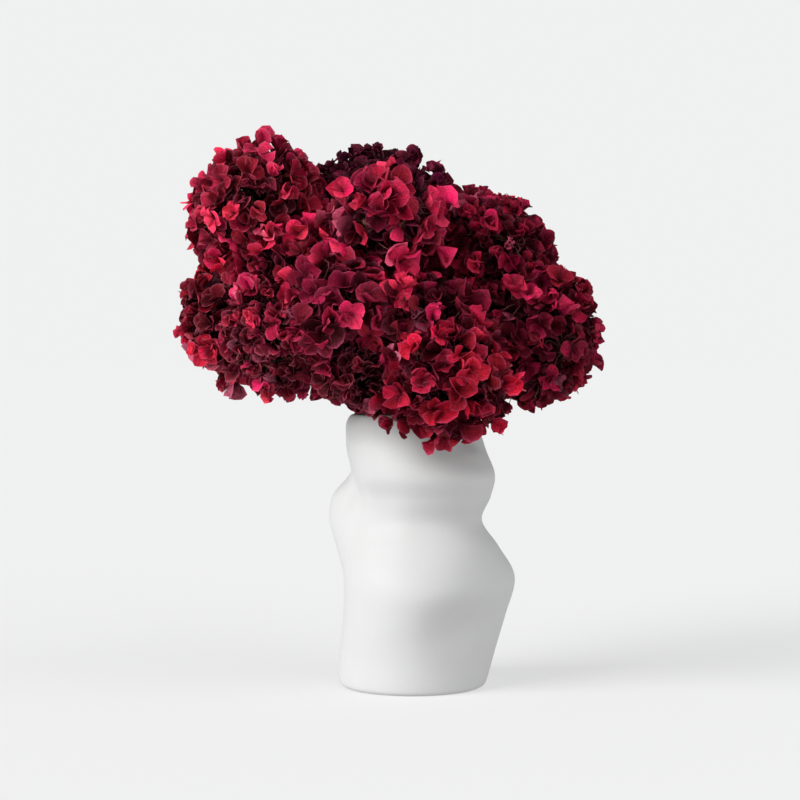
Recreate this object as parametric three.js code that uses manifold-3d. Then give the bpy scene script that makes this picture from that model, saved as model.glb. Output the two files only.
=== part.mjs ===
// Cut hydrangeas standing in a hand-built ceramic vase.
//
// The vase is a wavy, hollow body, lofted through sections of eight radii each. Every flower is two
// pieces: a woody stem that forks into branches, and the rounded mass of florets which those branches
// carry. The stems stand in a bunch inside the vase, pass its mouth in rings and fan out to the heads.
// Heads that press on each other are flattened where they meet.
//
// Millimetres and degrees. +Z is up, -Y is the front, and the origin is the middle of the vase's foot.
import * as THREE from "three";
import { mergeVertices } from "three/addons/utils/BufferGeometryUtils.js";
import Module from "manifold-3d";

// ---- driving dimensions ----
const VASE_HEIGHT = 272;
const FOOT_RADIUS = 70; // the sections below are percentages of it
const VASE_WALL = 6;
const VASE_FLOOR = 9;
const FOOT_EDGE = 4; // rounding where the foot meets the wall
const STEM_DIAMETER = 6;
const BRANCH_DIAMETER = 3.6;
const KNUCKLE_DIAMETER = 8; // of the knot where a stem forks
const STEM_SPACING = 2.4; // free space between neighbouring stems at the neck
const FOOT_SPREAD = 1.7; // how much wider the bunch stands on the vase's floor than at the neck
const BUNCH_BACK = 16; // how far behind the vase's axis the bunch stands on the floor
const BUNCH_LEAN = 4; // and at the neck
const NECK_DEPTH = 10; // how far below the rim the stems start to fan out
const NECK_LENGTH = 30; // how far they run side by side below that
const SPRAY_HEIGHT = 12; // the point above the mouth that every flower faces away from

// ---- clearances ----
const FLOOR_GAP = 0.8; // under the cut ends of the stems
const HEAD_GAP = 1.6; // between two heads that press on each other
const CARVE_GAP = 1; // between a head and the stem or branch inside it
const VASE_GAP = 2; // between a head and the vase

// ---- fineness of the meshes ----
const VASE_SIDES = 28;
const WALL_STEPS = 18;
const HEAD_SIDES = 16;
const HEAD_STEPS = 10;
const TUBE_SIDES = 6;
const STEM_STEPS = 12;

// Sections of the vase's outside, from foot to rim: height as a share of the vase's height, then the
// radius towards the right, right-back, back, left-back, left, left-front, front and right-front.
const SECTIONS = [
  [0.0, [102, 102, 100, 100, 100, 101, 102, 102]],
  [0.03, [108, 106, 104, 103, 105, 104, 105, 105]],
  [0.13, [119, 113, 110, 104, 103, 106, 109, 106]],
  [0.26, [134, 130, 118, 103, 98, 110, 120, 113]],
  [0.4, [147, 140, 116, 106, 97, 112, 126, 130]],
  [0.51, [125, 122, 108, 114, 108, 104, 113, 126]],
  [0.61, [100, 104, 112, 126, 117, 92, 101, 106]],
  [0.7, [112, 102, 118, 122, 112, 90, 110, 116]],
  [0.785, [117, 107, 112, 104, 88, 102, 124, 126]],
  [0.88, [104, 114, 104, 94, 92, 108, 114, 100]],
  [0.96, [94, 98, 94, 90, 94, 98, 98, 90]],
  [1.0, [88, 90, 88, 86, 88, 90, 90, 86]],
];

// The flowers: the middle of each head from the middle of the mouth, its radius, and its stem's place in
// the neck as a ring of the bunch (0 is the middle) and an angle round it.
const FLOWERS = [
  { name: "top_left", at: [-154, 0, 210], radius: 68, ring: 1, turn: 125 },
  { name: "top_back", at: [-29, 60, 197], radius: 75, ring: 1, turn: 65 },
  { name: "top_front", at: [-29, -60, 182], radius: 53, ring: 0, turn: 0 },
  { name: "right_upper", at: [79, 5, 156], radius: 65, ring: 1, turn: 5 },
  { name: "right_lower", at: [117, -15, 79], radius: 69, ring: 2, turn: -20 },
  { name: "upper_left", at: [-117, -35, 138], radius: 52, ring: 1, turn: 185 },
  { name: "left_lower", at: [-174, 5, 92], radius: 58, ring: 2, turn: 160 },
  { name: "left_front", at: [-123, -62, 76], radius: 61, ring: 2, turn: 205 },
  { name: "middle_left", at: [-71, -86, 98], radius: 57, ring: 1, turn: 245 },
  { name: "middle_right", at: [11, -88, 77], radius: 57, ring: 1, turn: 305 },
  { name: "mouth_left", at: [-47, -84, 51], radius: 44, ring: 2, turn: 250 },
  { name: "mouth_front", at: [31, -113, 32], radius: 56, ring: 2, turn: 295 },
  { name: "back_left", at: [-103, 66, 149], radius: 76, ring: 2, turn: 115 },
  { name: "back_right", at: [60, 66, 151], radius: 78, ring: 2, turn: 25 },
  { name: "back_low", at: [-20, 100, 66], radius: 73, ring: 2, turn: 70 },
];

// How a head is built on its axis, which points away from the spray point.
const HEAD_TOP = 0.95; // height above its middle, as a share of its radius
const HEAD_UNDERSIDE = 0.82; // depth below its middle
const RUFFLE = 0.045; // how much the florets rise and fall
const FORK_DEPTH = 0.45; // where the stem forks, below the middle
const BRANCH_REACH = 0.72; // where the branches end, as a share of the way out
const BRANCH_COUNT = 4; // round the one that carries straight on
const BRANCH_ANGLE = 62; // between those and the axis
const APPROACH = 0.62; // length of stem, in head radii, that already points along the axis

const COLOURS = {
  vase: [0xecece9, 0.55],
  stem: [0x6f5a3c, 0.8],
  florets: [0x8e1630, 0.75],
};

const mouth = new THREE.Vector3(0, 0, VASE_HEIGHT);
const spray = mouth.clone().add(new THREE.Vector3(0, BUNCH_LEAN, SPRAY_HEIGHT));

const wasm = await Module();
wasm.setup();

// ---- helpers between three.js geometries and manifold-3d solids ----
function solidOf(geometry) {
  const bare = new THREE.BufferGeometry();
  bare.setAttribute("position", geometry.getAttribute("position"));
  bare.setIndex(geometry.index);
  const merged = mergeVertices(bare, 1e-3);
  return new wasm.Manifold(
    new wasm.Mesh({
      numProp: 3,
      vertProperties: new Float32Array(merged.attributes.position.array),
      triVerts: new Uint32Array(merged.index.array),
    }),
  );
}

function geometryOf(solid) {
  const mesh = solid.getMesh();
  const geometry = new THREE.BufferGeometry();
  geometry.setAttribute("position", new THREE.BufferAttribute(mesh.vertProperties, 3));
  geometry.setIndex(new THREE.BufferAttribute(mesh.triVerts, 1));
  geometry.computeVertexNormals();
  return geometry;
}

function named(name, geometry, [color, roughness]) {
  const material = new THREE.MeshStandardMaterial({ color, roughness, metalness: 0 });
  const mesh = new THREE.Mesh(geometry, material);
  mesh.name = name;
  return mesh;
}

// ---- the vase ----
// One smooth curve up the wall for each of the eight directions.
const wallCurves = SECTIONS[0][1].map(
  (_, k) =>
    new THREE.SplineCurve(
      SECTIONS.map(([share, radii]) => new THREE.Vector2((radii[k] * FOOT_RADIUS) / 100, share)),
    ),
);

// A curve's radius at a share of the vase's height, found by halving.
function curveRadius(curve, share) {
  let [below, above] = [0, 1];
  for (let i = 0; i < 30; i++) {
    const middle = (below + above) / 2;
    if (curve.getPoint(middle).y < share) below = middle;
    else above = middle;
  }
  return curve.getPoint(above).x;
}

// The outside radius in any direction: the eight curves, eased into each other.
function wallRadius(angle, height) {
  const share = THREE.MathUtils.clamp(height / VASE_HEIGHT, 0, 1);
  const count = wallCurves.length;
  const position = ((angle / (2 * Math.PI)) * count + count) % count;
  const k = Math.floor(position);
  const ease = (1 - Math.cos((position - k) * Math.PI)) / 2;
  const near = curveRadius(wallCurves[k % count], share);
  const far = curveRadius(wallCurves[(k + 1) % count], share);
  return near + (far - near) * ease;
}

// A revolved profile of [inset from the outside, height] pairs, pushed out to the wavy wall. The first
// and last points are on the axis.
function revolved(profile) {
  const points = profile.map(([inset, height], i) => {
    const onAxis = i === 0 || i === profile.length - 1;
    return new THREE.Vector2(onAxis ? 0 : 100 - inset, height);
  });
  const lathe = new THREE.LatheGeometry(points, VASE_SIDES).rotateX(Math.PI / 2);
  const position = lathe.attributes.position;
  for (let i = 0; i < position.count; i++) {
    const [inset, height] = profile[i % profile.length];
    const radius = Math.hypot(position.getX(i), position.getY(i));
    const side = Math.floor(i / profile.length) % VASE_SIDES;
    const angle = (side / VASE_SIDES) * 2 * Math.PI;
    const reach = radius < 1e-6 ? 0 : wallRadius(angle, height) - inset;
    position.setXYZ(i, Math.cos(angle) * reach, Math.sin(angle) * reach, height);
  }
  return lathe;
}

const steps = (count, from, to) =>
  Array.from({ length: count + 1 }, (_, i) => from + ((to - from) * i) / count);

function vaseProfile() {
  const rim = VASE_WALL / 2;
  const foot = [0, 45, 90].map((a) => {
    const turn = THREE.MathUtils.degToRad(a);
    return [FOOT_EDGE * (1 - Math.sin(turn)), FOOT_EDGE * (1 - Math.cos(turn))];
  });
  const outside = steps(WALL_STEPS, FOOT_EDGE, VASE_HEIGHT - rim).slice(1).map((h) => [0, h]);
  const lip = [45, 90, 135].map((a) => {
    const turn = THREE.MathUtils.degToRad(a);
    return [rim * (1 - Math.cos(turn)), VASE_HEIGHT - rim + rim * Math.sin(turn)];
  });
  const inside = steps(WALL_STEPS - 5, VASE_HEIGHT - rim, VASE_FLOOR).map((h) => [VASE_WALL, h]);
  return [[0, 0], ...foot, ...outside, ...lip, ...inside, [0, VASE_FLOOR]];
}

const vaseSolid = solidOf(revolved(vaseProfile()));

// The vase's outline without its hollow, grown by the gap that the heads keep to it.
function vaseKeepOut() {
  const wall = steps(WALL_STEPS, 0, VASE_HEIGHT + VASE_GAP).map((h) => [-VASE_GAP, h]);
  return solidOf(revolved([[0, 0], ...wall, [0, VASE_HEIGHT + VASE_GAP]]));
}

// ---- the flowers ----
const flowers = FLOWERS.map((flower) => {
  const centre = mouth.clone().add(new THREE.Vector3(...flower.at));
  const axis = centre.clone().sub(spray).normalize();
  return { ...flower, centre, axis };
});

// How far a head reaches from its middle in one direction: a rounded body, flatter underneath, that is
// ruffled and stops at the planes where it meets its neighbours.
function headReach(flower, direction) {
  const along = direction.dot(flower.axis);
  const squash = along > 0 ? HEAD_TOP : HEAD_UNDERSIDE;
  const body = flower.radius / Math.hypot(Math.sqrt(1 - Math.min(1, along ** 2)), along / squash);
  const ruffle = Math.sin(9 * direction.x + 4) * Math.sin(8 * direction.y) * Math.sin(9 * direction.z + 2);
  let reach = body * (1 - RUFFLE + RUFFLE * ruffle);
  for (const other of flowers) {
    if (other === flower) continue;
    const way = other.centre.clone().sub(flower.centre);
    const distance = way.length();
    if (distance > flower.radius + other.radius) continue;
    const lean = direction.dot(way) / distance;
    const plane = (distance ** 2 + flower.radius ** 2 - other.radius ** 2) / (2 * distance);
    if (lean > 0) reach = Math.min(reach, (plane - HEAD_GAP / 2) / lean);
  }
  return reach;
}

function headBody(flower) {
  const ball = new THREE.SphereGeometry(1, HEAD_SIDES, HEAD_STEPS).rotateX(Math.PI / 2);
  const position = ball.attributes.position;
  const direction = new THREE.Vector3();
  for (let i = 0; i < position.count; i++) {
    direction.fromBufferAttribute(position, i).normalize();
    const reach = headReach(flower, direction);
    direction.multiplyScalar(reach).add(flower.centre);
    position.setXYZ(i, direction.x, direction.y, direction.z);
  }
  return solidOf(ball);
}

// The middle line of a stem: up through the bunch, out of the mouth, and round to the head's axis.
function stemCurve(flower) {
  const pitch = STEM_DIAMETER + STEM_SPACING;
  const turn = THREE.MathUtils.degToRad(flower.turn);
  const place = new THREE.Vector3(Math.cos(turn), Math.sin(turn), 0).multiplyScalar(flower.ring * pitch);
  const foot = place.clone().multiplyScalar(FOOT_SPREAD);
  foot.add(new THREE.Vector3(0, BUNCH_BACK, VASE_FLOOR + FLOOR_GAP));
  const neck = place.clone().add(new THREE.Vector3(0, BUNCH_LEAN, VASE_HEIGHT - NECK_DEPTH));
  const throat = neck.clone().sub(new THREE.Vector3(0, 0, NECK_LENGTH));
  const fork = flower.centre.clone().addScaledVector(flower.axis, -FORK_DEPTH * flower.radius);
  const approach = fork.clone().addScaledVector(flower.axis, -APPROACH * flower.radius);
  return new THREE.CatmullRomCurve3([foot, throat, neck, approach, fork], false, "centripetal");
}

// A round bar along a curve.
function bar(curve, radius, stepCount) {
  const circle = new THREE.Shape(
    steps(TUBE_SIDES, 0, 2 * Math.PI)
      .slice(0, -1)
      .map((a) => new THREE.Vector2(Math.cos(a) * radius, Math.sin(a) * radius)),
  );
  const options = { steps: stepCount, extrudePath: curve, bevelEnabled: false };
  return solidOf(new THREE.ExtrudeGeometry(circle, options));
}

// The directions in which a stem's branches leave its fork: one straight on and a ring round it.
function branchDirections(flower) {
  const turn = new THREE.Quaternion().setFromUnitVectors(new THREE.Vector3(0, 0, 1), flower.axis);
  const tilt = THREE.MathUtils.degToRad(BRANCH_ANGLE);
  const ring = steps(BRANCH_COUNT, 0, 2 * Math.PI).slice(0, -1);
  return [
    flower.axis.clone(),
    ...ring.map((a) =>
      new THREE.Vector3(
        Math.sin(tilt) * Math.cos(a),
        Math.sin(tilt) * Math.sin(a),
        Math.cos(tilt),
      ).applyQuaternion(turn),
    ),
  ];
}

// A stem with its branches, every bar grown by the margin.
function stemBody(flower, margin) {
  const curve = stemCurve(flower);
  const fork = curve.getPoint(1);
  let body = bar(curve, STEM_DIAMETER / 2 + margin, STEM_STEPS);
  const knuckle = new THREE.IcosahedronGeometry(KNUCKLE_DIAMETER / 2 + margin);
  body = body.add(solidOf(knuckle.translate(fork.x, fork.y, fork.z)));
  for (const direction of branchDirections(flower)) {
    const reach = headReach(flower, direction) * BRANCH_REACH + margin;
    const end = flower.centre.clone().addScaledVector(direction, reach);
    body = body.add(bar(new THREE.LineCurve3(fork, end), BRANCH_DIAMETER / 2 + margin, 1));
  }
  return body;
}

const stemSolids = flowers.map((flower) => stemBody(flower, 0));
const keepOut = flowers.reduce(
  (all, flower) => all.add(stemBody(flower, CARVE_GAP)),
  vaseKeepOut(),
);

// ---- the model ----
const model = new THREE.Group();
model.name = "hydrangeas_in_a_vase";
model.add(named("vase", geometryOf(vaseSolid), COLOURS.vase));
flowers.forEach((flower, i) => {
  const florets = headBody(flower).subtract(keepOut);
  const branchMesh = named(`stem_${flower.name}`, geometryOf(stemSolids[i]), COLOURS.stem);
  const headMesh = named(`florets_${flower.name}`, geometryOf(florets), COLOURS.florets);
  model.add(branchMesh, headMesh);
});

export default model;
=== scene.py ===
import math
import bpy
import numpy as np
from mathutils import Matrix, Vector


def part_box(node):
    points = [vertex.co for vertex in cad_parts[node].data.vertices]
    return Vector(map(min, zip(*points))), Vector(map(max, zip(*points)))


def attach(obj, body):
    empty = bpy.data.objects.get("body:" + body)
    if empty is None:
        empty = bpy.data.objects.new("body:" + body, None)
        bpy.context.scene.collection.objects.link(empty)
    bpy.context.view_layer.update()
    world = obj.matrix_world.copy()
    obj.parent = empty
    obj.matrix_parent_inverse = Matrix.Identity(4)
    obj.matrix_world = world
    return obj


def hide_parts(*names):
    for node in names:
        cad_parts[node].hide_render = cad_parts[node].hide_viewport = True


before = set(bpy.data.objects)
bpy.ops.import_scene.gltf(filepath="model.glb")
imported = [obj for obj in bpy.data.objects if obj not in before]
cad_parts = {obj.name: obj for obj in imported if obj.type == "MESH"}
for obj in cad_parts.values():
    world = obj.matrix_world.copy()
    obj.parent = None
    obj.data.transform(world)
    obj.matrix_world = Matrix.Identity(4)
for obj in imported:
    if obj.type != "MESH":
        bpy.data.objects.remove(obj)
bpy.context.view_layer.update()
scene = bpy.context.scene
print("frame loaded:", len(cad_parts), "nodes")

mm = 0.001
vaseTop = float(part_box("vase")[1][2])
mouth = np.array([0.0, 0.0, vaseTop])


# small helpers
def unit(vectors):
    # each vector divided by its own length
    return vectors / np.maximum(np.linalg.norm(vectors, axis=-1, keepdims=True), 1e-12)


def turned(first, second, angles):
    # directions round a circle: cos(angle) * first + sin(angle) * second
    return np.cos(angles)[..., None] * first + np.sin(angles)[..., None] * second


def cubic(p0, p1, p2, p3, t):
    # from p1 to p2 as t goes from 0 to 1, with half the chord of the neighbours as the slope at each end
    square, cube = 2 * p0 - 5 * p1 + 4 * p2 - p3, 3 * p1 - p0 - 3 * p2 + p3
    return 0.5 * (2 * p1 + (p2 - p0) * t + square * t ** 2 + cube * t ** 3)


def smoothCurve(points, samples):
    # a cubic for each span, with one more point at each end as far again as the last step
    padded = np.vstack([2 * points[:1] - points[1:2], points, 2 * points[-1:] - points[-2:-1]])
    position = np.linspace(0, len(points) - 1, samples)
    span = np.minimum(position.astype(int), len(points) - 2)
    return cubic(*(padded[span + k] for k in range(4)), (position - span)[:, None])


def ringFaces(rows, sides):
    # quads between neighbouring rings, and a fan from a pole to the first and to the last ring
    ring = np.arange(rows)[:, None] * sides
    here, after = np.arange(sides), np.roll(np.arange(sides), -1)
    quads = np.stack([ring[:-1] + here, ring[:-1] + after, ring[1:] + after, ring[1:] + here], -1)
    bottom, top = rows * sides, rows * sides + 1
    low = np.column_stack([np.full(sides, bottom), after, here])
    high = np.column_stack([np.full(sides, top), ring[-1] + here, ring[-1] + after])
    return quads.reshape(-1, 4), np.vstack([low, high])


def copyFaces(quads, fans, copies, pointsEach, start=0):
    # the same faces once for each copy, each copy's point numbers following on from the last one's
    offset = (start + np.arange(copies) * pointsEach)[:, None, None]
    return (quads + offset).reshape(-1, 4).tolist() + (fans + offset).reshape(-1, 3).tolist()


def meshPiece(name, points, faces):
    # a smooth mesh whose points are already where they belong
    mesh = bpy.data.meshes.new(name)
    mesh.from_pydata(points.reshape(-1, 3).tolist(), [], faces)
    mesh.update(calc_edges=True)
    mesh.polygons.foreach_set("use_smooth", np.ones(len(mesh.polygons), bool))
    piece = bpy.data.objects.new(name, mesh)
    scene.collection.objects.link(piece)
    return piece


def dress(piece, material, slotName, *nodesReplaced):
    # its material, and the nodes of the frame that it stands in for; the slot name is not used
    piece.data.materials.append(material)
    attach(piece, "root")
    if nodesReplaced:
        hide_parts(*nodesReplaced)


def pointNumbers(mesh, name, values):
    # an attribute with one number for each point
    data = mesh.attributes.new(name, "FLOAT", "POINT").data
    data.foreach_set("value", np.ascontiguousarray(values, np.float32).ravel())


def pointColours(mesh, name, colours):
    # an attribute with one colour for each point
    withAlpha = np.ones((len(colours), 4), np.float32)
    withAlpha[:, :3] = colours
    mesh.attributes.new(name, "FLOAT_COLOR", "POINT").data.foreach_set("color", withAlpha.ravel())


# shader helpers
def addNode(tree, kind, links=None, **settings):
    # links holds a value or another node's socket for each input
    node = tree.nodes.new(kind)
    for key, value in settings.items():
        setattr(node, key, value)
    for socket, source in (links or {}).items():
        target = node.inputs[socket]
        if isinstance(source, bpy.types.NodeSocket):
            tree.links.new(source, target)
        else:
            target.default_value = source
    return node


def calc(tree, operation, *values, clamp=False):
    inputs = dict(enumerate(values))
    return addNode(tree, "ShaderNodeMath", inputs, operation=operation, use_clamp=clamp).outputs[0]


def blendColours(tree, factor, first, second):
    inputs = {0: factor, 6: first, 7: second}
    return addNode(tree, "ShaderNodeMix", inputs, data_type="RGBA").outputs[2]


def noise(tree, place, scale, detail, distortion=0.0):
    inputs = {"Vector": place, "Scale": scale, "Detail": detail, "Distortion": distortion}
    return addNode(tree, "ShaderNodeTexNoise", inputs).outputs[0]


def newGroup(name, inputs, outputs):
    # an empty node group with a number for each socket, and its two end nodes
    group = bpy.data.node_groups.new(name, "ShaderNodeTree")
    for socketName, default in inputs.items():
        socket = group.interface.new_socket(socketName, in_out="INPUT", socket_type="NodeSocketFloat")
        socket.default_value = default
    for socketName in outputs:
        group.interface.new_socket(socketName, in_out="OUTPUT", socket_type="NodeSocketFloat")
    return group, group.nodes.new("NodeGroupInput"), group.nodes.new("NodeGroupOutput")


mottleShape = {"creaseScale": 0.3, "creaseWarp": 1.2, "creaseSharpness": 11.0}


def mottleGroup():
    # two sizes of soft cloudiness on object coordinates, and thin winding creases between the two
    group, given, result = newGroup("mottle", {"Coarse": 20.0, "Fine": 200.0}, ["Cloud", "Grain", "Crease"])
    place = group.nodes.new("ShaderNodeTexCoord").outputs["Object"]
    cloud = noise(group, place, given.outputs["Coarse"], 2.0)
    grain = noise(group, place, given.outputs["Fine"], 3.0)
    foldScale = calc(group, "MULTIPLY", given.outputs["Fine"], mottleShape["creaseScale"])
    folds = noise(group, place, foldScale, 1.0, mottleShape["creaseWarp"])
    # a crease runs where the folded noise passes its middle value: 1 - sharpness * its distance from that
    away = calc(group, "ABSOLUTE", calc(group, "SUBTRACT", folds, 0.5))
    faded = calc(group, "MULTIPLY", away, mottleShape["creaseSharpness"])
    crease = calc(group, "SUBTRACT", 1.0, faded, clamp=True)
    for socketName, source in (("Cloud", cloud), ("Grain", grain), ("Crease", crease)):
        group.links.new(source, result.inputs[socketName])
    return group


veinShape = {
    "fanFrom": 0.35,  # how far behind the foot the veins meet, as a share of the sepal
    "turns": 3.0,
    "sharpness": 6.0,
    "strength": 0.6,
    "midribSharpness": 9.0,
    "rimAcross": 9.0,  # the higher, the thinner the rim
    "rimAlong": 14.0,
    "footFade": 1.6,
}


def veinGroup():
    # veins run along lines of equal across / (fanFrom + along): |sin(that * count * turns)| ^ sharpness
    group, given, result = newGroup("sepalVeinsRimHighlightFootShade", {"Veins": 5.0}, ["Vein", "Rim", "Foot"])
    along = addNode(group, "ShaderNodeAttribute", attribute_name="along").outputs["Fac"]
    across = addNode(group, "ShaderNodeAttribute", attribute_name="across").outputs["Fac"]
    fan = calc(group, "DIVIDE", across, calc(group, "ADD", along, veinShape["fanFrom"]))
    turns = calc(group, "MULTIPLY", given.outputs["Veins"], veinShape["turns"])
    wave = calc(group, "ABSOLUTE", calc(group, "SINE", calc(group, "MULTIPLY", fan, turns)))
    lines = calc(group, "POWER", wave, veinShape["sharpness"])
    reach = calc(group, "ABSOLUTE", across)
    fromMidrib = calc(group, "MULTIPLY", reach, veinShape["midribSharpness"])
    midrib = calc(group, "SUBTRACT", 1.0, fromMidrib, clamp=True)
    vein = calc(group, "MAXIMUM", calc(group, "MULTIPLY", lines, veinShape["strength"]), midrib)
    # the rim, a paler edge that is also a painted highlight, is only the edge of a sepal, and the foot,
    # painted shade where the sepals meet in the floret's middle, fades out towards the tip
    side = calc(group, "POWER", reach, veinShape["rimAcross"])
    tip = calc(group, "POWER", along, veinShape["rimAlong"])
    rim = calc(group, "MAXIMUM", side, tip, clamp=True)
    foot = calc(group, "POWER", calc(group, "SUBTRACT", 1.0, along, clamp=True), veinShape["footFade"])
    for socketName, source in (("Vein", vein), ("Rim", rim), ("Foot", foot)):
        group.links.new(source, result.inputs[socketName])
    return group


mottle = mottleGroup()
veins = veinGroup()
print("shader groups ready")


def newMaterial(name, viewColour):
    material = bpy.data.materials.new(name)
    material.use_nodes = True
    material.diffuse_color = (*viewColour, 1.0)
    tree = material.node_tree
    return material, tree, tree.nodes["Principled BSDF"]


def placeMottle(tree, look):
    # the mottle at one finish's own two sizes
    sizes = {"Coarse": look["coarse"], "Fine": look["fine"]}
    return addNode(tree, "ShaderNodeGroup", sizes, node_tree=mottle).outputs


bumpDepth = 0.8 * mm


def addRelief(tree, shader, look, grain, height):
    # rougher where the grain is high, and a bump from the height
    rough = calc(tree, "MULTIPLY_ADD", grain, look["roughVaries"], look["roughness"])
    tree.links.new(rough, shader.inputs["Roughness"])
    inputs = {"Height": height, "Strength": look["bump"], "Distance": bumpDepth}
    tree.links.new(addNode(tree, "ShaderNodeBump", inputs).outputs[0], shader.inputs["Normal"])


# petals
# footDepth and creaseDepth set painted shade at the sepal's foot and along its creases; the rim colour and
# its weight give a paler edge that is also a painted highlight
allPetals = dict(roughVaries=0.25, specular=0.08, footDepth=0.75, veinHeight=-0.6, creaseHeight=-0.8)
petalLooks = {
    "petals_pink": dict(
        rim=(0.85, 0.12, 0.26), paleRimAndHighlight=0.30, veinCount=5.0, veinDepth=0.36, creaseDepth=0.30,
        cloudDepth=0.8, coarse=55.0, fine=900.0, roughness=0.34, bump=0.75),
    "petals_red": dict(
        rim=(0.80, 0.16, 0.24), paleRimAndHighlight=0.42, veinCount=5.0, veinDepth=0.40, creaseDepth=0.34,
        cloudDepth=0.9, coarse=60.0, fine=900.0, roughness=0.34, bump=0.75),
    "petals_dark": dict(
        rim=(0.50, 0.07, 0.14), paleRimAndHighlight=0.30, veinCount=6.0, veinDepth=0.42, creaseDepth=0.38,
        cloudDepth=1.0, coarse=70.0, fine=1000.0, roughness=0.36, bump=0.85),
}


def petalMaterial(name, look):
    # each sepal's own tint, darker along its veins, with painted shade along its creases and towards its
    # foot, and lighter at its rim, a paler edge that is also a painted highlight
    material, tree, shader = newMaterial(name, look["rim"])
    # this attribute holds each sepal's colour times its floret's painted shade
    tintAndShade = addNode(tree, "ShaderNodeAttribute", attribute_name="tintAndShade").outputs["Color"]
    marks = addNode(tree, "ShaderNodeGroup", {"Veins": look["veinCount"]}, node_tree=veins).outputs
    clouds = placeMottle(tree, look)
    shade = calc(tree, "MULTIPLY_ADD", clouds["Cloud"], look["cloudDepth"], 1.0 - look["cloudDepth"] / 2)
    for mask, depth, level in (
        (marks["Vein"], look["veinDepth"], 1.0),
        # painted shade along the creases
        (clouds["Crease"], look["creaseDepth"], 1.1),
        # painted shade towards the sepal's foot
        (marks["Foot"], look["footDepth"], 1.15),
    ):
        shade = calc(tree, "MULTIPLY", shade, calc(tree, "MULTIPLY_ADD", mask, -depth, level))
    shaded = addNode(tree, "ShaderNodeVectorMath", {0: tintAndShade, "Scale": shade}, operation="SCALE").outputs[0]
    # the rim colour is the sepal's paler edge and also a painted highlight
    rimAmount = calc(tree, "MULTIPLY", marks["Rim"], look["paleRimAndHighlight"])
    colour = blendColours(tree, rimAmount, shaded, (*look["rim"], 1.0))
    tree.links.new(colour, shader.inputs["Base Color"])
    height = calc(tree, "MULTIPLY_ADD", marks["Vein"], look["veinHeight"], clouds["Grain"])
    height = calc(tree, "MULTIPLY_ADD", clouds["Crease"], look["creaseHeight"], height)
    addRelief(tree, shader, look, clouds["Grain"], height)
    shader.inputs["Specular IOR Level"].default_value = look["specular"]
    return material


petalMaterials = {name: petalMaterial(name, {**allPetals, **look}) for name, look in petalLooks.items()}


# ceramic
glaze = {
    "clay": (0.49, 0.495, 0.49),
    "shade": (0.44, 0.44, 0.43),
    "roughness": 0.5,
    "roughVaries": 0.2,
    "specular": 0.35,
    "coarse": 14.0,
    "fine": 420.0,
    "bump": 0.12,
    "cloudShare": 0.5,
    "cloudHeight": 2.0,
    "speckShare": 0.3,
    "speckSharpness": 8.0,
    "speckGain": 6.0,
}


def ceramicMaterial():
    # soft clouds between two near whites, with small darker specks where the grain is highest
    material, tree, shader = newMaterial("vaseCeramic", glaze["clay"])
    clouds = placeMottle(tree, glaze)
    peaks = calc(tree, "POWER", clouds["Grain"], glaze["speckSharpness"])
    speck = calc(tree, "MULTIPLY", peaks, glaze["speckGain"], clamp=True)
    speckAmount = calc(tree, "MULTIPLY", speck, glaze["speckShare"])
    amount = calc(tree, "MULTIPLY_ADD", clouds["Cloud"], glaze["cloudShare"], speckAmount, clamp=True)
    colour = blendColours(tree, amount, (*glaze["clay"], 1.0), (*glaze["shade"], 1.0))
    tree.links.new(colour, shader.inputs["Base Color"])
    height = calc(tree, "MULTIPLY_ADD", clouds["Cloud"], glaze["cloudHeight"], clouds["Grain"])
    addRelief(tree, shader, glaze, clouds["Grain"], height)
    shader.inputs["Specular IOR Level"].default_value = glaze["specular"]
    return material


ceramic = ceramicMaterial()


# bark of the stems and skin of the stalks
bark = {"coarse": 70.0, "fine": 700.0, "roughness": 0.55, "roughVaries": 0.3, "bump": 0.6}


def barkMaterial(name, light, dark):
    # clouds between a light and a dark colour, rough with the grain
    material, tree, shader = newMaterial(name, light)
    clouds = placeMottle(tree, bark)
    colour = blendColours(tree, clouds["Cloud"], (*dark, 1.0), (*light, 1.0))
    tree.links.new(colour, shader.inputs["Base Color"])
    addRelief(tree, shader, bark, clouds["Grain"], clouds["Grain"])
    return material


caneWood = barkMaterial("caneWood", (0.20, 0.14, 0.07), (0.07, 0.045, 0.02))
stalkSkin = barkMaterial("stalkSkin", (0.22, 0.05, 0.04), (0.06, 0.015, 0.015))
print("materials ready")


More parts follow.
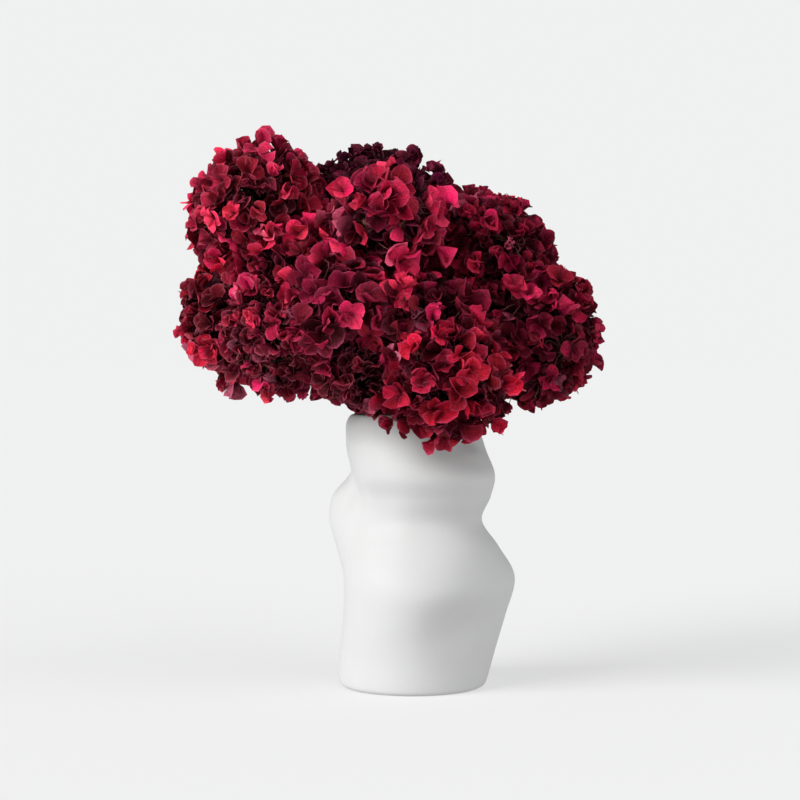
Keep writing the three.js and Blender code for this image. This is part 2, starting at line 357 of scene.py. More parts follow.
# vase
vase = {
    "foot": 70 * mm,  # the radii below are percentages of it
    "wall": 6 * mm,
    "floor": 9 * mm,
    "footEdge": 4 * mm,
    "innerCorner": 8 * mm,
    "sides": 160,
    "rows": 130,
    "edgeSteps": 6,
    "curveSamples": 600,
    "sections": [  # height share, then radii from the right round by the back
        (0.0, (102, 102, 100, 100, 100, 101, 102, 102)),
        (0.03, (108, 106, 104, 103, 105, 104, 105, 105)),
        (0.13, (119, 113, 110, 104, 103, 106, 109, 106)),
        (0.26, (134, 130, 118, 103, 98, 110, 120, 113)),
        (0.4, (147, 140, 116, 106, 97, 112, 126, 130)),
        (0.51, (125, 122, 108, 114, 108, 104, 113, 126)),
        (0.61, (100, 104, 112, 126, 117, 92, 101, 106)),
        (0.7, (112, 102, 118, 122, 112, 90, 110, 116)),
        (0.785, (117, 107, 112, 104, 88, 102, 124, 126)),
        (0.88, (104, 114, 104, 94, 92, 108, 114, 100)),
        (0.96, (94, 98, 94, 90, 94, 98, 98, 90)),
        (1.0, (88, 90, 88, 86, 88, 90, 90, 86)),
    ],
    "swells": [  # low waves in the wall: angle, height share, their two widths, and how far they stand out
        (300, 0.36, 34, 0.06, 4 * mm),
        (300, 0.22, 34, 0.07, -3.6 * mm),
        (211, 0.68, 9, 0.09, -4 * mm),
        (231, 0.69, 12, 0.11, 3 * mm),
        (272, 0.62, 36, 0.05, -1.6 * mm),
        (322, 0.905, 12, 0.022, -3 * mm),
        (326, 0.86, 14, 0.025, 2 * mm),
    ],
}


def wallRadii(angles, shares):
    # eight curves up the wall, then a smooth closed curve round through their radii at every height
    heights = np.array([share for share, radii in vase["sections"]])
    radii = np.array([radii for share, radii in vase["sections"]]) / 100 * vase["foot"]
    columns = []
    for column in radii.T:
        curve = smoothCurve(np.column_stack([column, heights]), vase["curveSamples"])
        columns.append(np.interp(shares, curve[:, 1], curve[:, 0]))
    table = np.array(columns)
    position = angles / (2 * np.pi) * len(table) % len(table)
    k = position.astype(int)
    neighbours = (table[(k + step) % len(table)] for step in (-1, 0, 1, 2))
    wall = cubic(*neighbours, (position - k)[:, None])
    for middle, share, wide, tall, high in vase["swells"]:
        # each swell adds high * exp(-(angle away / wide)^2 - (share away / tall)^2)
        away = (np.degrees(angles)[:, None] - middle + 180) % 360 - 180
        wall = wall + high * np.exp(-((away / wide) ** 2) - ((shares[None] - share) / tall) ** 2)
    return wall


def vaseProfile():
    # inset from the outside and height: foot edge, wall, round lip, inside wall, inside corner
    rim = vase["wall"] / 2
    edge, cove = vase["footEdge"], vase["innerCorner"]
    quarter = np.linspace(0, np.pi / 2, vase["edgeSteps"] + 1)
    half = np.linspace(0, np.pi, 2 * vase["edgeSteps"] + 1)[1:-1]
    foot = np.column_stack([edge * (1 - np.sin(quarter)), edge * (1 - np.cos(quarter))])
    outside = np.linspace(edge, vaseTop - rim, vase["rows"])[1:]
    lip = np.column_stack([rim * (1 - np.cos(half)), vaseTop - rim + rim * np.sin(half)])
    inside = np.linspace(vaseTop - rim, vase["floor"] + cove, vase["rows"] // 2)
    corner = [vase["wall"] + cove * (1 - np.cos(quarter)), vase["floor"] + cove * (1 - np.sin(quarter))]
    wall = np.column_stack([np.zeros(len(outside)), outside])
    back = np.column_stack([np.full(len(inside), vase["wall"]), inside])
    return np.vstack([foot, wall, lip, back, np.column_stack(corner)[1:]])


def makeVase():
    # the profile carried round the wall's radii: radius = wall radius at that angle and height - inset
    profile = vaseProfile()
    angles = np.linspace(0, 2 * np.pi, vase["sides"], endpoint=False)
    reach = wallRadii(angles, profile[:, 1] / vaseTop).T - profile[:, :1]
    heights = np.repeat(profile[:, 1:], len(angles), 1)
    rings = np.stack([reach * np.cos(angles), reach * np.sin(angles), heights], -1)
    poles = np.array([[0, 0, 0], [0, 0, vase["floor"]]])
    points = np.vstack([rings.reshape(-1, 3), poles])
    faces = copyFaces(*ringFaces(len(profile), len(angles)), 1, len(points))
    dress(meshPiece("wavyVase", points, faces), ceramic, "vase_ceramic", "vase")


makeVase()
print("vase made")


# flower heads
# at is the head's middle and strays are florets on their own, both in millimetres from the middle of the
# mouth. ring and turn give the stem's place in the bunch. length is a sepal's, lift is in degrees, spread is
# how unlike each other the florets are, and fill multiplies how many there are. inset draws every floret in
# and push moves them all. blunt is a direction, and how much further florets on that side are drawn in.
# bright and deep are the two ends of the petals' colours.
heads = {
    "top_left": dict(
        at=(-154, 0, 210), radius=68, ring=1, turn=125, slot="petals_red",
        length=17, lift=24, spread=1.15, fill=0.9, inset=4, push=(0, 0, -6), blunt=(-0.62, 0, 0.78, 6),
        strays=((-149, -6, 266), (-136, 4, 264), (-118, 0, 254), (-166, 0, 260)),
        bright=(0.95, 0.0342, 0.1187), deep=(0.19, 0.0044, 0.0162)),
    "top_back": dict(
        at=(-29, 60, 197), radius=75, ring=1, turn=65, slot="petals_dark",
        length=13, lift=38, spread=1.3, fill=0.86, inset=1, push=(-3, 0, -3),
        strays=((-89, 40, 246), (-80, 42, 250), (-66, 42, 253)),
        bright=(0.22, 0.0154, 0.0572), deep=(0.02, 0.001, 0.004)),
    "top_front": dict(
        at=(-29, -60, 182), radius=53, ring=0, turn=0, slot="petals_pink",
        length=20.5, lift=30, spread=1.1, fill=0.8, inset=1,
        bright=(0.86, 0.0315, 0.112), deep=(0.36, 0.0078, 0.0306)),
    "right_upper": dict(
        at=(79, 5, 156), radius=65, ring=1, turn=5, slot="petals_dark",
        length=13.5, lift=40, spread=1.35, inset=3, push=(-3, 0, -3),
        bright=(0.8, 0.0192, 0.088), deep=(0.05, 0.0016, 0.0043)),
    "right_lower": dict(
        at=(117, -15, 79), radius=69, ring=2, turn=-20, slot="petals_dark",
        length=16, lift=26, spread=1.15, inset=0, push=(-1, 0, 2), blunt=(0.9, 0, -0.4, 4),
        strays=((94, -60, 12), (88, -62, 16)),
        bright=(0.68, 0.0163, 0.0748), deep=(0.045, 0.0015, 0.0038)),
    "upper_left": dict(
        at=(-117, -35, 138), radius=52, ring=1, turn=185, slot="petals_pink",
        length=16.5, lift=34, spread=1.25, inset=3,
        bright=(0.9, 0.0324, 0.1125), deep=(0.08, 0.0022, 0.0068)),
    "left_lower": dict(
        at=(-174, 5, 92), radius=58, ring=2, turn=160, slot="petals_red",
        length=16, lift=28, spread=1.15, inset=3, push=(-3, 0, 3), blunt=(-0.9, 0, -0.45, 5),
        strays=((-188, 5, 37), (-178, -10, 33)),
        bright=(0.78, 0.0156, 0.0585), deep=(0.06, 0.0018, 0.0051)),
    "left_front": dict(
        at=(-123, -62, 76), radius=61, ring=2, turn=205, slot="petals_red",
        length=14, lift=44, spread=1.35, inset=4, push=(0, 0, 5),
        strays=((-108, -68, 26), (-120, -66, 27), (-97, -72, 28), (-86, -78, 28)),
        bright=(0.86, 0.031, 0.1075), deep=(0.06, 0.0018, 0.0051)),
    "middle_left": dict(
        at=(-71, -86, 98), radius=57, ring=1, turn=245, slot="petals_pink",
        length=20, lift=24, spread=1.05, inset=3,
        bright=(0.8, 0.0288, 0.1), deep=(0.08, 0.0022, 0.0068)),
    "middle_right": dict(
        at=(11, -88, 77), radius=57, ring=1, turn=305, slot="petals_dark",
        length=18, lift=36, spread=1.3, fill=0.9, inset=3,
        bright=(0.84, 0.0302, 0.105), deep=(0.055, 0.0017, 0.0047)),
    "mouth_left": dict(
        at=(-47, -84, 51), radius=44, ring=2, turn=250, slot="petals_red",
        length=14, lift=34, spread=1.2, inset=2, push=(1, -4, 4),
        bright=(0.31, 0.0074, 0.0341), deep=(0.02, 0.001, 0.0017)),
    "mouth_front": dict(
        at=(31, -113, 32), radius=56, ring=2, turn=295, slot="petals_pink",
        length=17.5, lift=30, spread=1.2, inset=2, push=(-1, 0, 4),
        strays=((74, -112, -4), (-19, -125, -2)),
        bright=(0.82, 0.0164, 0.0615), deep=(0.05, 0.0016, 0.0043)),
    "back_left": dict(
        at=(-103, 66, 149), radius=76, ring=2, turn=115, slot="petals_red",
        length=16, lift=32, spread=1.15, inset=4,
        bright=(0.62, 0.0149, 0.0682), deep=(0.05, 0.0016, 0.0043)),
    "back_right": dict(
        at=(60, 66, 151), radius=78, ring=2, turn=25, slot="petals_dark",
        length=15, lift=34, spread=1.2, inset=4,
        bright=(0.6, 0.0144, 0.066), deep=(0.045, 0.0015, 0.0038)),
    "back_low": dict(
        at=(-20, 100, 66), radius=73, ring=2, turn=70, slot="petals_dark",
        length=16, lift=32, spread=1.15, inset=4, push=(0, -1, 0),
        bright=(0.58, 0.0139, 0.0638), deep=(0.045, 0.0015, 0.0038)),
}
plainHead = dict(fill=1.0, push=(0, 0, 0), blunt=(0, 0, 1, 0), strays=())

bouquet = {
    "sprayHeight": 12 * mm,  # the point above the mouth that every head faces away from
    "bunchLean": 4 * mm,
    "headTop": 0.95,  # a head's height above and below its middle, as shares of its radius
    "headUnderside": 0.82,
    "headGap": 1.6 * mm,
    "density": 2.3,
    "packing": 4.9,  # the florets that cover a head whose radius is one sepal, at a density of one
    # the inner layers are painted darker: painted shade deep inside each head
    "layers": ((1.0, 1.0, 1.0), (0.84, 0.46, 0.26), (0.66, 0.28, 0.08)),  # depth, share and brightness
    "hidden": 0.64,  # florets are left out where a neighbour cuts the head to less than this share
    "scatter": 0.07,
    "tilt": 0.45,
    "sink": (0.02, 0.62),  # how far an outer floret may sit below the surface, as shares of a sepal
    "proud": 0.10,  # the share of florets that stand out instead
    "proudHeight": 0.30,
    "clumpLength": 9.0,
    "clumpWaves": np.array([[1.0, 1.3, 0.0, 0.4], [-0.8, 0.0, 1.7, 1.9], [1.5, 1.2, 0.9, 0.0]]),
    # the clumps are partly a tone across the bunch and partly painted shade, since the darker tufts sink
    # deeper
    "clumpShade": (0.42, 1.16),
    # painted shade for sunken florets: the shade at the surface, and how much darker the deepest ones are
    "sunkenShade": (1.12, 0.85),
    "tufting": 0.9,  # how far the tufts stand out, as a share of a sepal
    "bluntEdge": 0.6,  # the cosine at which a blunt side begins
    "strayShade": 0.9,
    "straySpread": 1e-6,
}
spray = mouth + [0, bouquet["bunchLean"], bouquet["sprayHeight"]]
heads = {name: {**plainHead, **head} for name, head in heads.items()}
for head in heads.values():
    head["centre"] = mouth + np.array(head["at"]) * mm
    head["size"] = head["radius"] * mm
    head["axis"] = unit(head["centre"] - spray)


def headReach(head, directions):
    # a ball, flatter towards its stem, cut by the plane half-way to each neighbour it presses on
    along = directions @ head["axis"]
    squash = np.where(along > 0, bouquet["headTop"], bouquet["headUnderside"])
    body = head["size"] / np.sqrt(np.maximum(1 - along ** 2, 0) + (along / squash) ** 2)
    reach = body.copy()
    for other in heads.values():
        way = other["centre"] - head["centre"]
        distance = np.linalg.norm(way)
        if other is head or distance > head["size"] + other["size"]:
            continue
        lean = directions @ (way / distance)
        halfWay = (distance ** 2 + head["size"] ** 2 - other["size"] ** 2) / (2 * distance)
        plane = halfWay - bouquet["headGap"] / 2
        reach = np.where(lean > 1e-3, np.minimum(reach, plane / np.maximum(lean, 1e-3)), reach)
    return body, reach


def spreadDirections(count, offset):
    # a golden-angle spiral over the whole ball
    index = np.arange(count) + 0.5
    height = 1 - 2 * index / count
    angle = index * np.pi * (3 - math.sqrt(5)) + offset
    flat = np.sqrt(1 - height ** 2)
    return np.column_stack([flat * np.cos(angle), flat * np.sin(angle), height])


def clumps(points):
    # 0 to 1, for lighter and darker tufts: the mean of three sine waves across the bunch, about 30 mm long.
    #                                       The darker tufts also sink deeper, so this is partly a tone that
    #                                       varies across the bunch and partly painted shade in the dips
    waves = bouquet["clumpWaves"]
    phase = points / mm / bouquet["clumpLength"] @ waves[:, :3].T + waves[:, 3]
    return 0.5 + np.sin(phase).sum(-1) / 6


def floretLayer(head, depth, number, light, rng):
    # most florets sink into their head and a few stand out, and the sunken ones are painted darker, as
    # painted shade in the head's hollows. A place is the centre + direction * (reach * depth - sink * sepal
    # length - inset) + push
    length = head["length"] * mm
    spiral = spreadDirections(number, rng.uniform(0, 6))
    directions = unit(spiral + rng.normal(0, bouquet["scatter"], (number, 3)))
    body, reach = headReach(head, directions)
    kept = reach > body * bouquet["hidden"]
    directions, reach = directions[kept], reach[kept]
    low, high = bouquet["sink"]
    sink = rng.uniform(low, high, len(reach))
    sink = np.where(rng.random(len(reach)) < bouquet["proud"], -bouquet["proudHeight"] * sink, sink)
    # painted light and shade: a floret near the surface is painted lighter, and one that sinks deeper is
    # painted darker
    topShade, fall = bouquet["sunkenShade"]
    shade = light * (topShade - fall * np.clip((sink - low) / (high - low), -0.1, 1))
    normals = unit(directions + rng.normal(0, bouquet["tilt"] * head["spread"], directions.shape))
    clump = clumps(head["centre"] + directions * reach[:, None])
    # painted shade on the sunken tufts, over a tone that varies across the bunch
    darkest, contrast = bouquet["clumpShade"]
    shade = shade * (darkest + contrast * clump)
    sink = sink + bouquet["tufting"] * (0.5 - clump)
    *bluntWay, cut = head["blunt"]
    facing = (directions @ np.array(bluntWay) - bouquet["bluntEdge"]) / (1 - bouquet["bluntEdge"])
    inset = (head["inset"] + cut * np.clip(facing, 0, 1)) * mm
    places = head["centre"] + directions * (reach * depth - sink * length - inset)[:, None]
    return places + np.array(head["push"]) * mm, normals, shade, np.full(len(places), depth == 1.0)


def floretPlaces(head, rng):
    # three layers inside each other, then the strays: places, normals, painted shades, and which are outer
    # florets
    sepalsAcross = head["size"] / (head["length"] * mm)
    count = int(bouquet["density"] * head["fill"] * bouquet["packing"] * sepalsAcross ** 2)
    layers = []
    for depth, share, light in bouquet["layers"]:
        layers.append(floretLayer(head, depth, int(count * share), light, rng))
    strays = np.array(head["strays"]).reshape(-1, 3) * mm + mouth
    outwards = unit(strays - head["centre"] + rng.normal(0, bouquet["straySpread"], strays.shape))
    strayShade = np.full(len(strays), bouquet["strayShade"])
    layers.append((strays, outwards, strayShade, np.ones(len(strays), bool)))
    return [np.concatenate(parts) for parts in zip(*layers)]


# one sepal is a flattened tube: these rows from foot to tip, eight points round, and a pole at each end
sepal = {
    "rows": np.array([0.08, 0.29, 0.53, 0.76, 0.92]),
    "across": np.array([1, 0.6, 0, -0.6, -1, -0.6, 0, 0.6]),
    "sheet": np.array([0, 1, 1, 1, 0, -1, -1, -1]),
    "thickness": 0.22 * mm,
    "width": 0.50,  # half-width as a share of the length
    "widthOwn": (0.78, 1.14),
    "lengthShared": (0.72, 1.16),
    "lengthOwn": (0.84, 1.12),
    "closed": 0.22,  # the share of florets that are half shut
    "closedBy": (22, 45),
    "strayClosedBy": 32,
    "liftVaries": 12,
    "liftLimits": (-20, 84),
    "pairLift": 5,
    "curl": (-95, 60),
    "belly": (0.90, 1.28),  # under 1 is widest towards the foot, over 1 towards the tip
    "tip": (0.42, 0.82),  # low is round, high is pointed
    "cup": (-0.20, 0.85),
    "fold": (-0.20, 0.50),
    "ripple": (0.05, 0.30),
    "rippleTurns": (8, 2.5),
    "twist": 26,
    "curlFrom": 0.35,
    "twistFrom": 0.2,
    "eyeRadius": 0.8 * mm,  # where the sepals begin
    "pairStep": 0.6 * mm,
    "turnVaries": 0.12,
}


def sepalPoints(foot, normal, outward, v):
    # the midrib climbs at the angle lift + curl * share of the length; across it, the sheet rises with
    # the square (cup) and the size (fold) of the distance from the midrib, ripples, and twists. The outline
    # is sin(pi * share ^ belly) ^ tip
    share = np.concatenate([[0], sepal["rows"], [1]])
    middle = (share[1:] + share[:-1]) / 2
    climb = v["lift"][:, None] + v["curl"][:, None] * (middle - sepal["curlFrom"])
    stepLength = np.diff(share) * v["length"][:, None]
    start = np.zeros((len(foot), 1))
    out = np.hstack([start, np.cumsum(np.cos(climb) * stepLength, 1)])
    up = np.hstack([start, np.cumsum(np.sin(climb) * stepLength, 1)])
    angle = v["lift"][:, None] + v["curl"][:, None] * (share - sepal["curlFrom"])
    side = np.cross(normal, outward)

    rows = sepal["rows"][None, :, None]
    across, sheet = sepal["across"][None, None, :], sepal["sheet"][None, None, :]
    each = {key: value[:, None, None] for key, value in v.items()}
    half = np.sin(np.pi * rows ** each["belly"]) ** each["tip"] * each["length"] * each["width"]
    x = half * across
    alongTurns, acrossTurns = sepal["rippleTurns"]
    wave = np.sin(alongTurns * rows + each["phase"] + acrossTurns * across)
    rise = (each["cup"] * across ** 2 + (each["fold"] + each["ripple"] * wave) * np.abs(across)) * half
    z = rise + sheet * sepal["thickness"]
    turn = each["twist"] * (rows - sepal["twistFrom"])
    x, z = x * np.cos(turn) - z * np.sin(turn), x * np.sin(turn) + z * np.cos(turn)

    ribOut, ribUp, ribAngle = (line[:, 1:-1, None] for line in (out, up, angle))
    outPart = (ribOut - z * np.sin(ribAngle))[..., None]
    upPart = (ribUp + z * np.cos(ribAngle))[..., None]
    outward4, normal4, side4 = (way[:, None, None] for way in (outward, normal, side))
    body = foot[:, None, None] + outPart * outward4 + upPart * normal4 + x[..., None] * side4
    poles = [foot + out[:, [end]] * outward + up[:, [end]] * normal for end in (0, -1)]
    return np.concatenate([body.reshape(len(foot), -1, 3), np.stack(poles, 1)], 1)


def sepalTemplate():
    # one sepal's faces as point numbers, and each corner's place in a tile: front or back, x across, y along
    rows, ring = len(sepal["rows"]), len(sepal["across"])
    quads, fans = ringFaces(rows, ring)
    acrossAll = np.concatenate([np.tile(sepal["across"], rows), [0, 0]])
    alongAll = np.concatenate([np.repeat(sepal["rows"], ring), [0, 1]])
    front = np.arange(ring) < ring // 2
    corners = []
    for faces, sides in ((quads, np.tile(front, rows - 1)), (fans, np.tile(front, 2))):
        tile = np.repeat(sides, faces.shape[1])
        corners.append((tile, acrossAll[faces].ravel() / 2 + 0.5, alongAll[faces].ravel()))
    rail = np.concatenate([np.tile(sepal["sheet"] == 0, rows), [True, True]])
    return quads, fans, corners, rail, acrossAll, alongAll


sepalQuads, sepalFans, tileCorners, railPoints, acrossOf, alongOf = sepalTemplate()


def bakeTiles(mesh, count):
    # every sepal has one tile for its front and one for its back, on a square sheet of tiles
    tilesWide = math.ceil(math.sqrt(2 * count))
    margin = 0.06
    number = np.arange(count)[:, None]
    parts = []
    for front, x, y in tileCorners:
        tile = number * 2 + front
        across = tile % tilesWide + margin + (1 - 2 * margin) * x
        along = tile // tilesWide + margin + (1 - 2 * margin) * y
        parts.append(np.stack([across, along], -1).reshape(-1, 2) / tilesWide)
    layer = mesh.uv_layers.new(name="OFBake")
    layer.uv.foreach_set("vector", np.concatenate(parts).astype(np.float32).ravel())


def crispEdges(mesh, rail):
    # an edge between two points of a sepal's outline stays sharp
    ends = np.empty(len(mesh.edges) * 2, np.int32)
    mesh.edges.foreach_get("vertices", ends)
    sharp = rail[ends.reshape(-1, 2)].all(1)
    mesh.attributes.new("sharp_edge", "BOOLEAN", "EDGE").data.foreach_set("value", sharp)


def sepalShapes(head, florets, rng):
    # four sepals for each floret: what a floret shares, then what each sepal has of its own
    total = florets * 4
    wild = head["spread"]

    def shared(values):
        return np.repeat(values, 4)

    def own(key, weight=1.0):
        return rng.uniform(*sepal[key], total) * weight

    isClosed = rng.random(florets) < sepal["closed"]
    closedBy = shared(np.where(isClosed, rng.uniform(*sepal["closedBy"], florets), 0))
    closedBy = shared(rng.normal(0, sepal["liftVaries"] * wild, florets)) + closedBy * wild
    closedBy[total - 4 * len(head["strays"]):] += sepal["strayClosedBy"]
    pairs = np.tile([0, sepal["pairLift"], 0, sepal["pairLift"]], florets)
    lift = head["lift"] + closedBy + pairs + rng.normal(0, sepal["liftVaries"] * wild, total)
    return dict(
        length=head["length"] * mm * shared(rng.uniform(*sepal["lengthShared"], florets)) * own("lengthOwn"),
        lift=np.radians(np.clip(lift, *sepal["liftLimits"])),
        curl=np.radians(own("curl", wild)),
        belly=own("belly"),
        tip=own("tip"),
        width=sepal["width"] * own("widthOwn"),
        cup=own("cup", wild),
        fold=own("fold", wild),
        ripple=own("ripple", wild),
        twist=np.radians(rng.normal(0, sepal["twist"] * wild, total)),
        phase=rng.uniform(0, 6.3, total),
    )


tinting = {
    "skew": (0.75, 1.35),  # more florets are near the deep colour than near the bright one
    "ownShare": 0.3,  # how much of the mix is each sepal's own, not its floret's
    "greenVaries": (0.5, 1.3),
    "blueVaries": (0.75, 1.25),
    "faded": 0.07,  # the share of florets that have gone pale
    "fadedKeep": 0.7,
    "fadedTint": (0.34, 0.095, 0.155),
    "eyeShade": 0.45,
}


def sepalTintsAndShade(head, shade, rng):
    # between the deep and the bright colour, by floret and by sepal, times the floret's painted shade
    florets = len(shade)
    deep, bright, pale = np.array(head["deep"]), np.array(head["bright"]), np.array(tinting["fadedTint"])
    own = tinting["ownShare"]
    mix = np.repeat(rng.beta(*tinting["skew"], florets), 4) * (1 - own) + rng.uniform(0, own, florets * 4)
    colour = deep + (bright - deep) * mix[:, None]
    colour[:, 1] *= rng.uniform(*tinting["greenVaries"], florets * 4)
    colour[:, 2] *= np.repeat(rng.uniform(*tinting["blueVaries"], florets), 4)
    faded = np.repeat(rng.random(florets) < tinting["faded"], 4)[:, None]
    colour = np.where(faded, colour * tinting["fadedKeep"] + pale * bright[0], colour)
    return colour * np.repeat(shade, 4)[:, None]


def makeSepals(name, head, places, normals, shade, rng):
    # four sepals a quarter turn apart round each floret's normal, one pair a little above the other
    florets = len(places)
    count = florets * 4
    sideways = unit(np.cross(normals, rng.normal(size=normals.shape)))
    forward = np.cross(normals, sideways)
    angles = np.arange(4) * np.pi / 2 + rng.normal(0, sepal["turnVaries"], (florets, 4))
    outward = turned(sideways[:, None], forward[:, None], angles).reshape(-1, 3)
    normal = np.repeat(normals, 4, 0)
    step = np.tile([0, sepal["pairStep"], 0, sepal["pairStep"]], florets)[:, None]
    foot = np.repeat(places, 4, 0) + outward * sepal["eyeRadius"] + normal * step
    points = sepalPoints(foot, normal, outward, sepalShapes(head, florets, rng))
    pointsEach = points.shape[1]
    faces = copyFaces(sepalQuads, sepalFans, count, pointsEach)
    piece = meshPiece("sepals_" + name, points, faces)
    mesh = piece.data
    bakeTiles(mesh, count)
    crispEdges(mesh, np.tile(railPoints, count))
    # each sepal's colour times its floret's painted shade
    pointColours(mesh, "tintAndShade", np.repeat(sepalTintsAndShade(head, shade, rng), pointsEach, 0))
    pointNumbers(mesh, "across", np.tile(acrossOf, count))
    pointNumbers(mesh, "along", np.tile(alongOf, count))
    dress(piece, petalMaterials[head["slot"]], head["slot"], "florets_" + name)


# tubes: stems, branches and stalks
def tubes(paths, radii, sides, start=0):
    # for each path, rings square to its direction, on a frame that leans as little as it can
    ahead = unit(np.gradient(paths, axis=1))
    lean = np.where(np.abs(ahead[:, :1, 2:]) < 0.9, [[[0, 0, 1.0]]], [[[1.0, 0, 0]]])
    across = unit(np.cross(ahead, np.broadcast_to(lean, ahead.shape)))
    other = np.cross(ahead, across)
    around = np.linspace(0, 2 * np.pi, sides, endpoint=False)
    body = paths[:, :, None] + turned(across[:, :, None], other[:, :, None], around) * radii[:, :, None, None]
    count, rows = paths.shape[:2]
    points = np.concatenate([body.reshape(count, -1, 3), paths[:, :1], paths[:, -1:]], 1)
    faces = copyFaces(*ringFaces(rows, sides), count, rows * sides + 2, start)
    return points.reshape(-1, 3), faces


cane = {
    "radius": 3.0 * mm,
    "branchRadius": 1.8 * mm,
    "spacing": 8.4 * mm,  # between one ring of the bunch and the next
    "footSpread": 1.7,
    "footAbove": 1 * mm,
    "bunchBack": 16 * mm,
    "neckDepth": 10 * mm,
    "neckLength": 30 * mm,
    "forkDepth": 0.45,  # the lengths below are shares of the head's radius
    "approach": 0.62,
    "branchAngle": 62,
    "branches": 4,
    "reach": 0.72,
    "branchBend": 4 * mm,
    "branchSkew": (0.3, 0.5, 0.8),  # a direction that no head's axis lies along
    "branchTaper": (1.3, 0.7),
    "knots": (0.10, 25),  # how much the cane swells at its nodes, and how far through its waves it goes
    "rows": 60,
    "sides": 14,
    "branchRows": 8,
    "branchSides": 10,
}


def stemPath(head):
    # up through the bunch, out of the mouth, and round to the head's own axis
    turn = math.radians(head["turn"])
    place = np.array([math.cos(turn), math.sin(turn), 0]) * head["ring"] * cane["spacing"]
    foot = place * cane["footSpread"] + [0, cane["bunchBack"], vase["floor"] + cane["footAbove"]]
    neck = place + [0, bouquet["bunchLean"], vaseTop - cane["neckDepth"]]
    throat = neck - [0, 0, cane["neckLength"]]
    fork = head["centre"] - head["axis"] * cane["forkDepth"] * head["size"]
    approach = fork - head["axis"] * cane["approach"] * head["size"]
    return smoothCurve(np.array([foot, throat, neck, approach, fork]), cane["rows"]), fork


def makeCane(name, head, rng):
    # a trunk whose radius swells in waves, and branches from the fork: one along the axis, the rest round it
    path, fork = stemPath(head)
    swell, waves = cane["knots"]
    knots = 1 + swell * np.sin(np.linspace(0, waves, len(path)) + rng.uniform(0, 6))
    trunk, trunkFaces = tubes(path[None], (cane["radius"] * knots)[None], cane["sides"])
    axis = head["axis"]
    sideways = unit(np.cross(axis, cane["branchSkew"]))
    tilt = math.radians(cane["branchAngle"])
    around = np.linspace(0, 2 * np.pi, cane["branches"], endpoint=False)
    ring = math.cos(tilt) * axis + math.sin(tilt) * turned(sideways, np.cross(axis, sideways), around)
    directions = np.vstack([axis[None], ring])
    ends = head["centre"] + directions * (headReach(head, directions)[1] * cane["reach"])[:, None]
    share = np.linspace(0, 1, cane["branchRows"])[None, :, None]
    paths = fork + (ends[:, None] - fork) * share - np.sin(share * np.pi) * cane["branchBend"] * axis
    taper = cane["branchRadius"] * np.linspace(*cane["branchTaper"], cane["branchRows"])
    radii = np.repeat(taper[None], len(paths), 0)
    arms, armFaces = tubes(paths, radii, cane["branchSides"], start=len(trunk))
    piece = meshPiece("cane_" + name, np.vstack([trunk, arms]), trunkFaces + armFaces)
    dress(piece, caneWood, "stem_wood", "stem_" + name)
    return paths


stalk = {"rows": 5, "sides": 4, "radii": (0.75 * mm, 0.45 * mm), "bow": 0.22}


def makeStalks(name, head, places, normals, arms):
    # from the nearest point of a branch to each floret: (1 - s)^2 joint + 2 s (1 - s) pull + s^2 floret
    joints = arms.reshape(-1, 3)
    nearest = joints[np.argmin(np.linalg.norm(places[:, None] - joints[None], axis=-1), 1)][:, None]
    share = np.linspace(0, 1, stalk["rows"])[None, :, None]
    pull = (places - normals * (head["size"] * stalk["bow"]))[:, None]
    rest = 1 - share
    paths = rest ** 2 * nearest + 2 * share * rest * pull + share ** 2 * places[:, None]
    radii = np.repeat(np.linspace(*stalk["radii"], stalk["rows"])[None], len(places), 0)
    piece = meshPiece("stalks_" + name, *tubes(paths, radii, stalk["sides"]))
    dress(piece, stalkSkin, "stem_wood")


eye = {"rings": 4, "sides": 7, "radius": (1.1 * mm, 1.8 * mm), "height": 1.2 * mm}


def makeEyes(name, head, places, normals, rng):
    # the small closed bud in the middle of each floret: a ball of rings between two poles
    polar = np.linspace(np.pi, 0, eye["rings"] + 2)[1:-1][None, :, None, None]
    around = np.linspace(0, 2 * np.pi, eye["sides"], endpoint=False)
    sideways = unit(np.cross(normals, rng.normal(size=normals.shape)))
    forward = np.cross(normals, sideways)
    size = rng.uniform(*eye["radius"], len(places))[:, None, None, None]
    level = turned(sideways[:, None, None], forward[:, None, None], around)
    middle = (places + normals * eye["height"])[:, None, None]
    body = middle + size * (np.sin(polar) * level + np.cos(polar) * normals[:, None, None])
    poles = middle[:, 0] + size[:, 0] * np.stack([-normals, normals], 1)
    points = np.concatenate([body.reshape(len(places), -1, 3), poles], 1)
    faces = copyFaces(*ringFaces(eye["rings"], eye["sides"]), len(places), points.shape[1])
    piece = meshPiece("eyes_" + name, points, faces)
    tintAndShade = np.array(head["bright"]) * tinting["eyeShade"]
    pointColours(piece.data, "tintAndShade", np.tile(tintAndShade, (points.shape[0] * points.shape[1], 1)))
    dress(piece, petalMaterials[head["slot"]], head["slot"])


firstSeed = 100
for number, (name, head) in enumerate(heads.items()):
    rng = np.random.default_rng(firstSeed + number)
    places, normals, shade, outer = floretPlaces(head, rng)
    makeSepals(name, head, places, normals, shade, rng)
    arms = makeCane(name, head, rng)
    makeStalks(name, head, places, normals, arms)
    makeEyes(name, head, places[outer], normals[outer], rng)
    print("head", name, len(places), "florets")


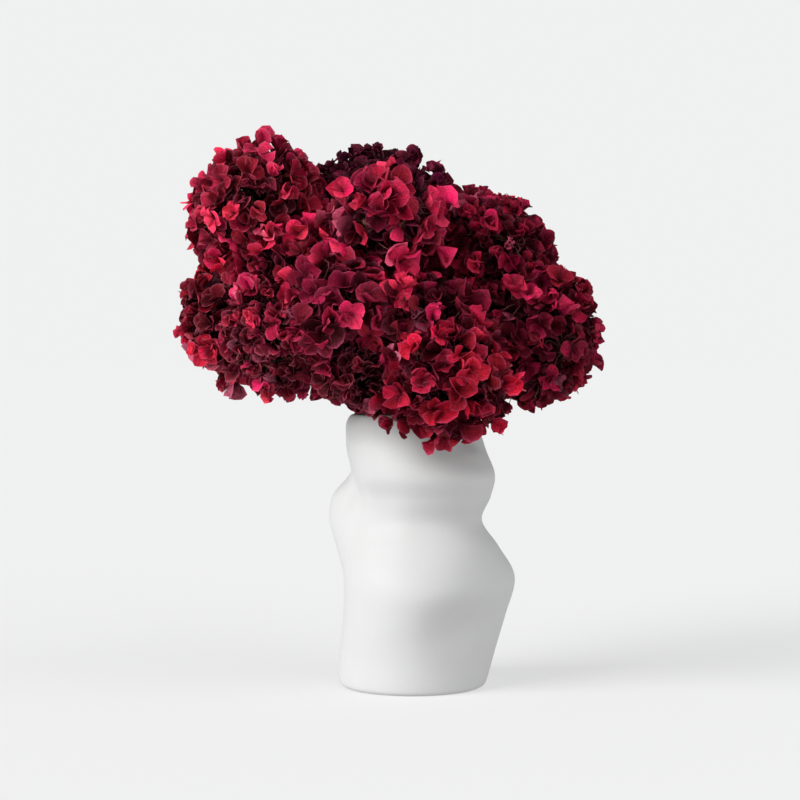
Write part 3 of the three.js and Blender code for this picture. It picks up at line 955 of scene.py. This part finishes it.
# floor, light and camera
studio = {
    "floor": (0.34, 0.34, 0.34),
    "floorGlow": 0.50,
    "floorHalf": 40.0,
    "backdrop": (0.865, 0.875, 0.87),
    "ambient": (0.40, 0.41, 0.42),
    "suns": {
        "key": dict(strength=3.9, turn=(67, 0, -58), softness=42),
        "fill": dict(strength=1.25, turn=(58, 0, 50), softness=70),
    },
    "cameraAt": (-0.012, -2.05, 0.335),
    "cameraDip": 1.37,
    "lens": 92.25,
    "sensor": 36,
}


def makeFloor():
    # a plain pale square, far wider than the view
    mesh = bpy.data.meshes.new("floor")
    half = studio["floorHalf"]
    corners = [(-half, -half, 0), (half, -half, 0), (half, half, 0), (-half, half, 0)]
    mesh.from_pydata(corners, [], [(0, 1, 2, 3)])
    floor = bpy.data.objects.new("floor", mesh)
    scene.collection.objects.link(floor)
    material, tree, shader = newMaterial("floorPaint", studio["floor"])
    shader.inputs["Base Color"].default_value = (*studio["floor"], 1.0)
    shader.inputs["Roughness"].default_value = 1.0
    shader.inputs["Specular IOR Level"].default_value = 0.0
    shader.inputs["Emission Color"].default_value = (1.0, 1.0, 1.0, 1.0)
    shader.inputs["Emission Strength"].default_value = studio["floorGlow"]
    mesh.materials.append(material)


def makeLight():
    # two soft suns, and a sky that lights the piece less than it shows behind it
    world = bpy.data.worlds.new("studio")
    scene.world = world
    world.use_nodes = True
    tree = world.node_tree
    seen = addNode(tree, "ShaderNodeLightPath").outputs["Is Camera Ray"]
    sky = blendColours(tree, seen, (*studio["ambient"], 1.0), (*studio["backdrop"], 1.0))
    tree.links.new(sky, tree.nodes["Background"].inputs["Color"])
    for name, light in studio["suns"].items():
        lamp = bpy.data.lights.new(name, "SUN")
        lamp.energy = light["strength"]
        lamp.angle = math.radians(light["softness"])
        sun = bpy.data.objects.new(name, lamp)
        sun.rotation_euler = [math.radians(angle) for angle in light["turn"]]
        scene.collection.objects.link(sun)


def makeCamera():
    # level with the flowers and tipped down a little
    lens = bpy.data.cameras.new("camera")
    lens.lens = studio["lens"]
    lens.sensor_width = studio["sensor"]
    camera = bpy.data.objects.new("camera", lens)
    camera.location = studio["cameraAt"]
    camera.rotation_euler = (math.radians(90 - studio["cameraDip"]), 0, 0)
    scene.collection.objects.link(camera)
    scene.camera = camera
    scene.view_settings.view_transform = "Standard"


makeFloor()
makeLight()
makeCamera()
print("studio ready")
